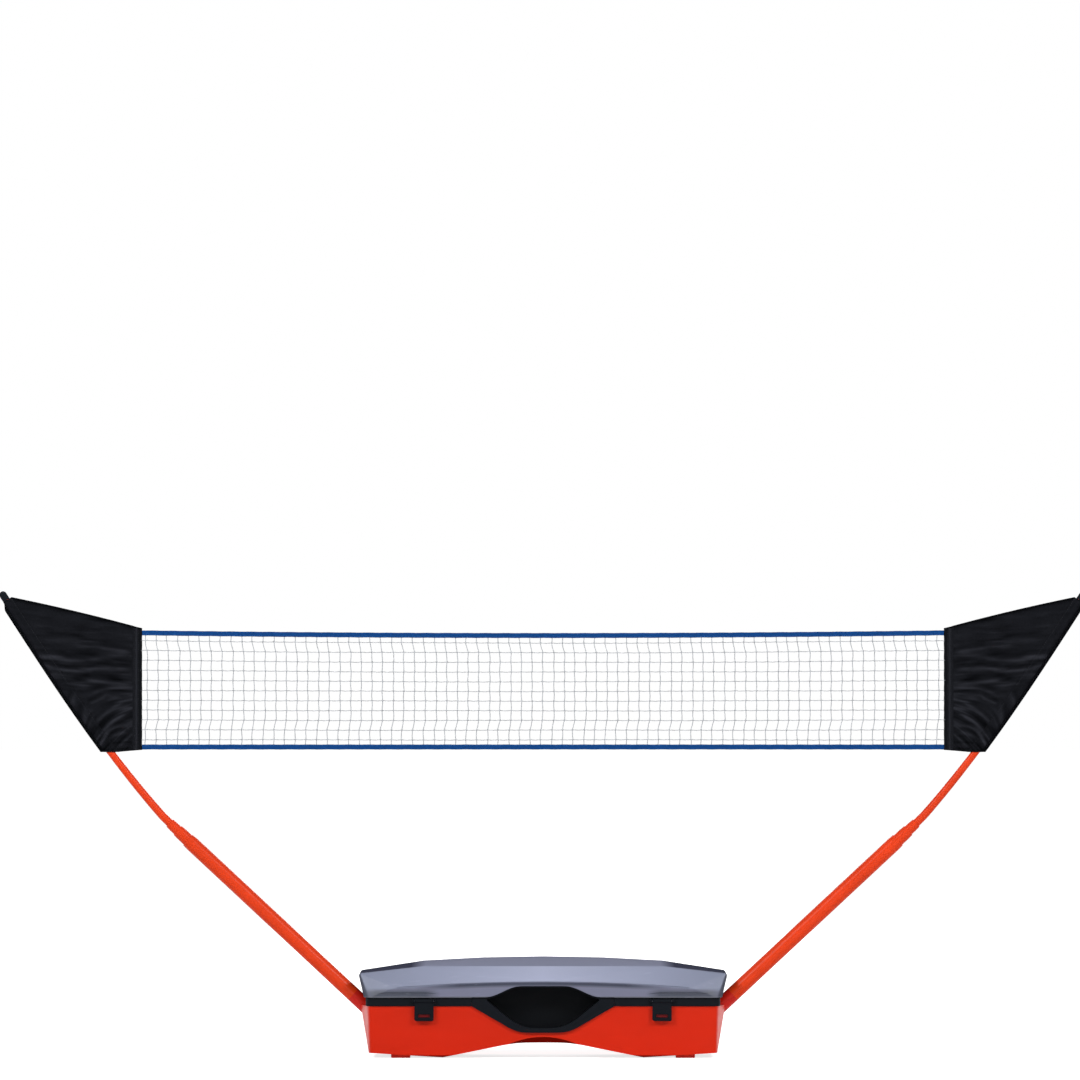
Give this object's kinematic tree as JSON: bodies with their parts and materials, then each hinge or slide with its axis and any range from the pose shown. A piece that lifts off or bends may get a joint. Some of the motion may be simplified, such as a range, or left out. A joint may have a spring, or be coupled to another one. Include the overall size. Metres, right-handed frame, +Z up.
{
  "type": "portable net set",
  "caption": "Free-standing game net: a latched carry case serves as the foot, telescopic poles lean out of its ends and bow under a mesh net with cloth end panels.",
  "frame": {"origin": "floor, under the middle of the case", "axes": "+X along the net, +Y to the rear (hinge side) of the case, +Z up"},
  "size_m": [2.61, 0.229, 1.1151],
  "materials": {
    "case_red": "moulded, semi-gloss",
    "foot_rubber": "matt",
    "black_plastic": "moulded, fine grain",
    "lid_grey": "moulded, semi-gloss",
    "steel": "plated",
    "pole_orange": "smooth, glossy",
    "black_cloth": "plain weave",
    "net_cord": "knotted twine",
    "blue_tape": "woven tape"
  },
  "bodies": {
    "base": {"base_shell": "case_red", "feet": "foot_rubber", "grip_cup": "black_plastic", "left_socket": "case_red", "right_socket": "case_red", "socket_screws": "steel", "hinge_pins": "steel", "left_base_tube": "pole_orange", "right_base_tube": "pole_orange"},
    "lid": {"lid_shell": "lid_grey", "rear_rim": "black_plastic", "left_rim": "black_plastic", "right_rim": "black_plastic", "left_latch_pin": "steel", "right_latch_pin": "steel"},
    "left_latch": {"left_latch": "black_plastic"},
    "right_latch": {"right_latch": "black_plastic"},
    "left_mid": {"left_second_tube": "pole_orange"},
    "left_top": {"left_third_tube": "pole_orange", "left_top_rod": "pole_orange", "left_tip_cap": "black_plastic", "left_sleeve": "black_cloth"},
    "net": {"net_mesh": "net_cord", "top_tape": "blue_tape", "bottom_tape": "blue_tape", "left_hem": "black_cloth", "right_hem": "black_cloth", "left_panel": "black_cloth", "right_panel": "black_cloth"},
    "right_top": {"right_third_tube": "pole_orange", "right_top_rod": "pole_orange", "right_tip_cap": "black_plastic", "right_sleeve": "black_cloth"},
    "right_mid": {"right_second_tube": "pole_orange"}
  },
  "joints": [
    {"name": "lid_hinge", "type": "hinge", "parent": "base", "child": "lid", "pos_m": [0, 0.11, 0.124], "axis": [-1, 0, 0], "range_deg": [0, 100]},
    {"name": "left_latch_hinge", "type": "hinge", "parent": "lid", "child": "left_latch", "pos_m": [-0.284, -0.1085, 0.137], "axis": [-1, 0, 0], "range_deg": [0, 110]},
    {"name": "right_latch_hinge", "type": "hinge", "parent": "lid", "child": "right_latch", "pos_m": [0.284, -0.1085, 0.137], "axis": [-1, 0, 0], "range_deg": [0, 110]},
    {"name": "left_pole_slide", "type": "slide", "parent": "base", "child": "left_mid", "axis": [0.7314, 0, -0.682], "range_m": [0, 0.022]},
    {"name": "left_top_slide", "type": "slide", "parent": "left_mid", "child": "left_top", "axis": [0.7314, 0, -0.682], "range_m": [0, 0.022]},
    {"name": "net_slide", "type": "slide", "parent": "left_top", "child": "net", "axis": [-1, 0, 0], "range_m": [0, 0.0322], "deforming": ["left_panel"]},
    {"name": "right_top_slide", "type": "slide", "parent": "net", "child": "right_top", "axis": [-1, 0, 0], "range_m": [0, 0.0322], "deforming": ["right_panel"]},
    {"name": "right_mid_slide", "type": "slide", "parent": "base", "child": "right_mid", "axis": [-0.7314, 0, -0.682], "range_m": [0, 0.022]}
  ],
  "couplings": [
    {"joint": "left_top_slide", "follows": "left_pole_slide", "ratio": 1},
    {"joint": "net_slide", "follows": "left_pole_slide", "ratio": 1.4627},
    {"joint": "right_top_slide", "follows": "left_pole_slide", "ratio": 1.4627},
    {"joint": "right_mid_slide", "follows": "left_pole_slide", "ratio": 1}
  ]
}
